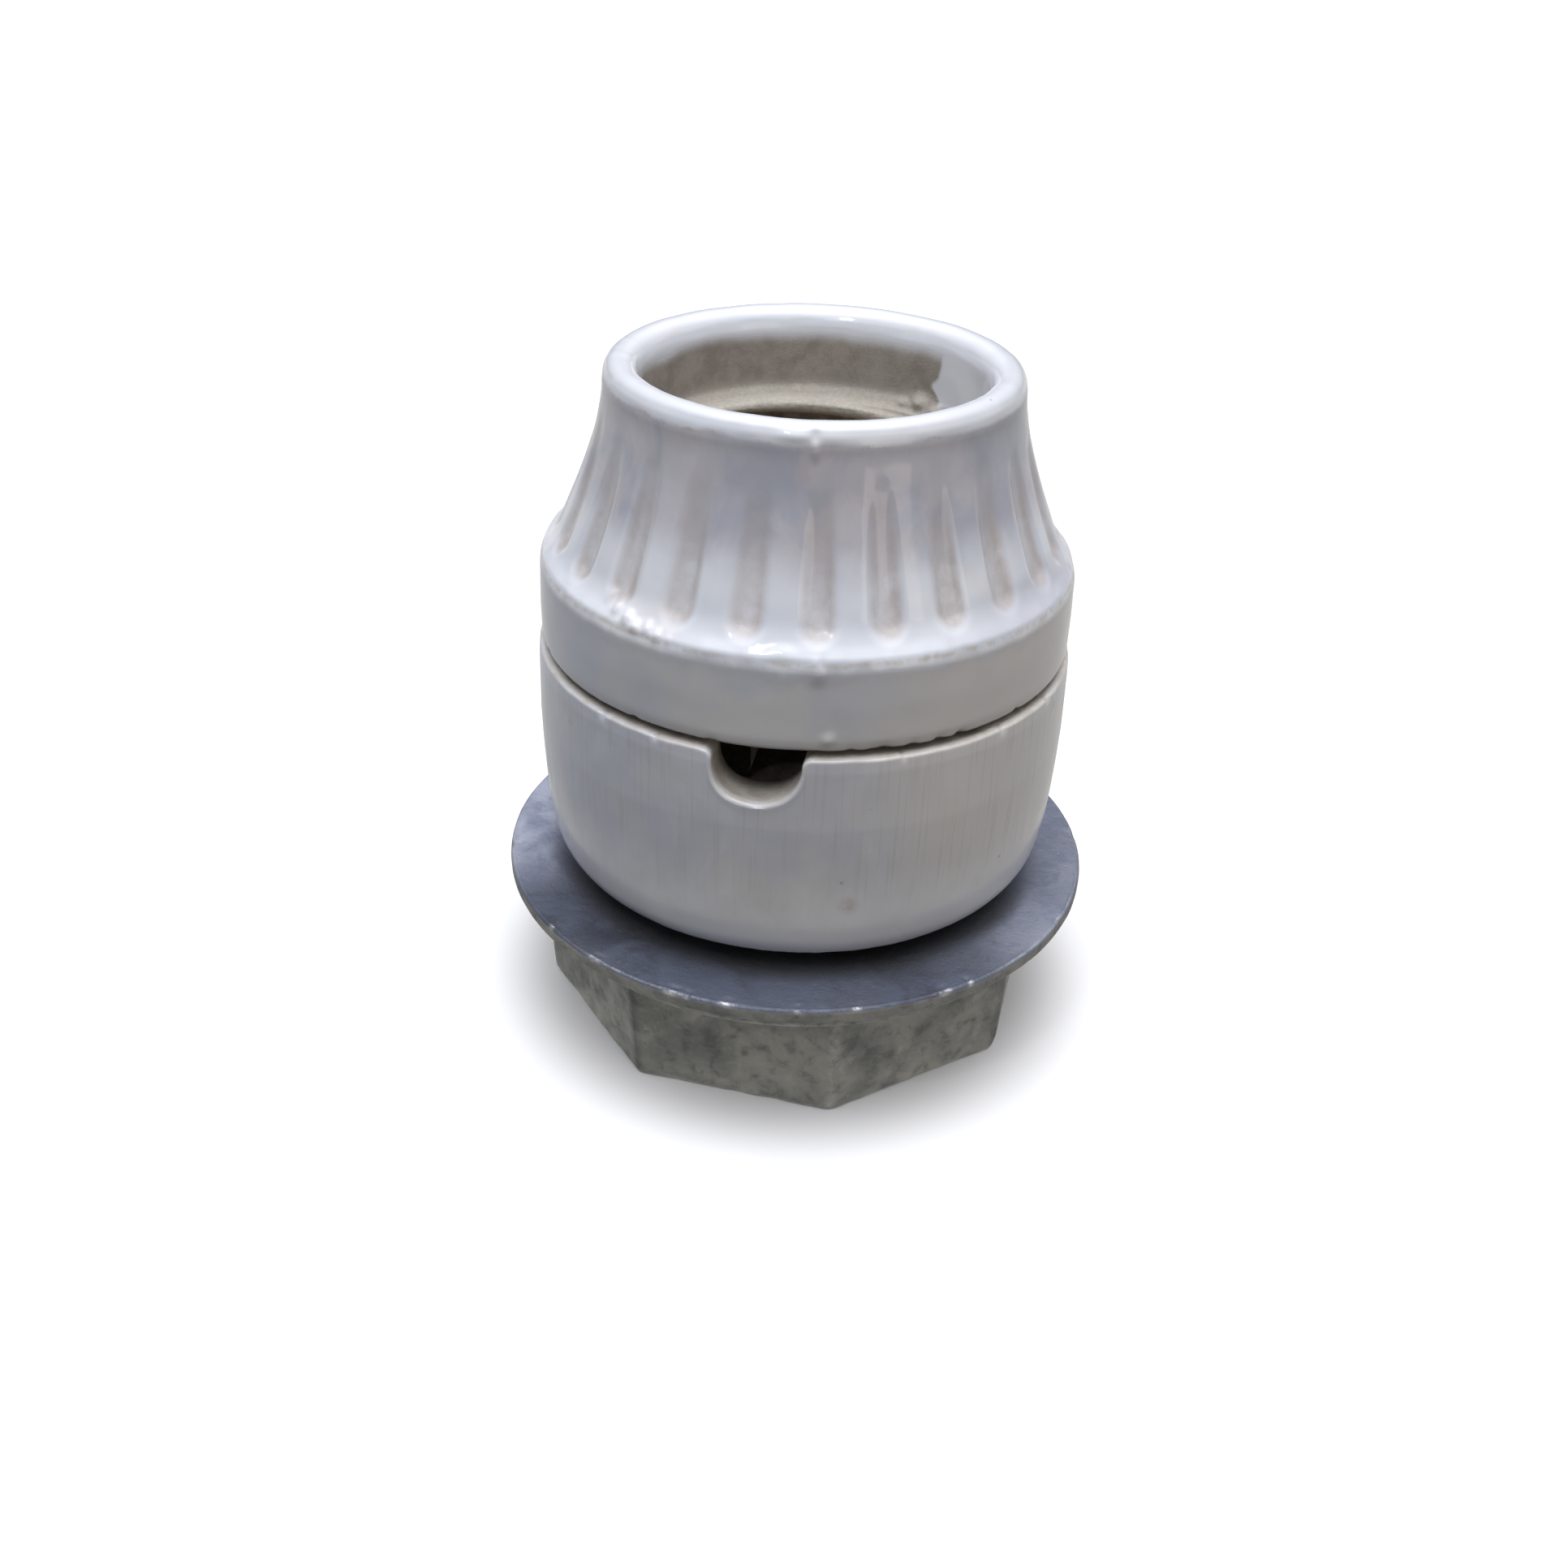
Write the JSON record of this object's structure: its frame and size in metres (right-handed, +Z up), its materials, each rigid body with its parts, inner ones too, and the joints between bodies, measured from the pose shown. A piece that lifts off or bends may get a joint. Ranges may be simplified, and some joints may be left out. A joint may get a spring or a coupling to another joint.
{
  "type": "porcelain screw lampholder",
  "caption": "Two-part porcelain lampholder with a threaded mouth, grip flutes and a cable notch, on a flanged octagonal metal base with a pipe thread.",
  "frame": {"origin": "centre of the octagonal base's underside", "axes": "+Z up along the lamp axis towards the mouth; the cable notch faces -Y; +X to the right seen from the notch side"},
  "size_m": [0.0552, 0.0552, 0.0618],
  "materials": {
    "glazed_porcelain": "gloss",
    "body_porcelain": "satin",
    "steatite": "matte",
    "cast_zinc": "matte",
    "dark_fibre": "matte",
    "seal_rubber": "matte",
    "brass": "satin",
    "spring_bronze": "satin",
    "plated_steel": "satin"
  },
  "bodies": {
    "holder": {"octagon_base": "cast_zinc", "base_gasket": "dark_fibre", "porcelain_body": "body_porcelain", "contact_insert": "steatite", "terminal_block_live": "brass", "terminal_block_neutral": "brass", "block_screw_live": "plated_steel", "block_screw_neutral": "plated_steel", "centre_bracket": "brass", "bracket_screw": "plated_steel", "side_contact_screw": "brass", "fixing_screw_front": "plated_steel", "fixing_screw_rear": "plated_steel", "spring_washer_front": "plated_steel", "spring_washer_rear": "plated_steel"},
    "cap_seal": {"cap_gasket": "seal_rubber"},
    "cap": {"porcelain_cap": "glazed_porcelain"},
    "clamp_live": {"clamp_plate_live": "brass"},
    "screw_live": {"terminal_screw_live": "brass"},
    "clamp_neutral": {"clamp_plate_neutral": "brass"},
    "screw_neutral": {"terminal_screw_neutral": "brass"},
    "centre_contact": {"centre_contact_leaf": "spring_bronze", "contact_button": "brass"},
    "side_contact": {"side_contact_leaf": "spring_bronze"}
  },
  "joints": [
    {"name": "cap_lift", "type": "slide", "parent": "holder", "child": "cap_seal", "axis": [0, 0, 1], "range_m": [0, 0.0061]},
    {"name": "cap_turn", "type": "hinge", "parent": "cap_seal", "child": "cap", "pos_m": [0, 0, 0.0369], "axis": [0, 0, 1], "range_deg": [0, 720]},
    {"name": "clamp_lift_live", "type": "slide", "parent": "holder", "child": "clamp_live", "axis": [0, 0, 1], "range_m": [0, 0.0021]},
    {"name": "screw_turn_live", "type": "hinge", "parent": "clamp_live", "child": "screw_live", "pos_m": [-0.0086, -0.0012, 0.0363], "axis": [0, 0, 1], "range_deg": [0, 1081]},
    {"name": "clamp_lift_neutral", "type": "slide", "parent": "holder", "child": "clamp_neutral", "axis": [0, 0, 1], "range_m": [0, 0.0021]},
    {"name": "screw_turn_neutral", "type": "hinge", "parent": "clamp_neutral", "child": "screw_neutral", "pos_m": [0.0086, -0.0012, 0.0363], "axis": [0, 0, 1], "range_deg": [0, 1081]},
    {"name": "centre_contact_flex", "type": "hinge", "parent": "holder", "child": "centre_contact", "pos_m": [0, 0.0128, 0.0366], "axis": [1, 0, 0], "range_deg": [0, 10], "stiffness_Nm_per_rad": 0.36},
    {"name": "side_contact_flex", "type": "hinge", "parent": "holder", "child": "side_contact", "pos_m": [0.0124, 0, 0.0342], "axis": [0, 1, 0], "range_deg": [0, 5], "stiffness_Nm_per_rad": 0.3}
  ],
  "couplings": [
    {"joint": "cap_lift", "follows": "cap_turn", "m_per_rad": 0.00047746},
    {"joint": "screw_turn_live", "follows": "clamp_lift_live", "rad_per_m": 8976},
    {"joint": "screw_turn_neutral", "follows": "clamp_lift_neutral", "rad_per_m": 8976}
  ]
}
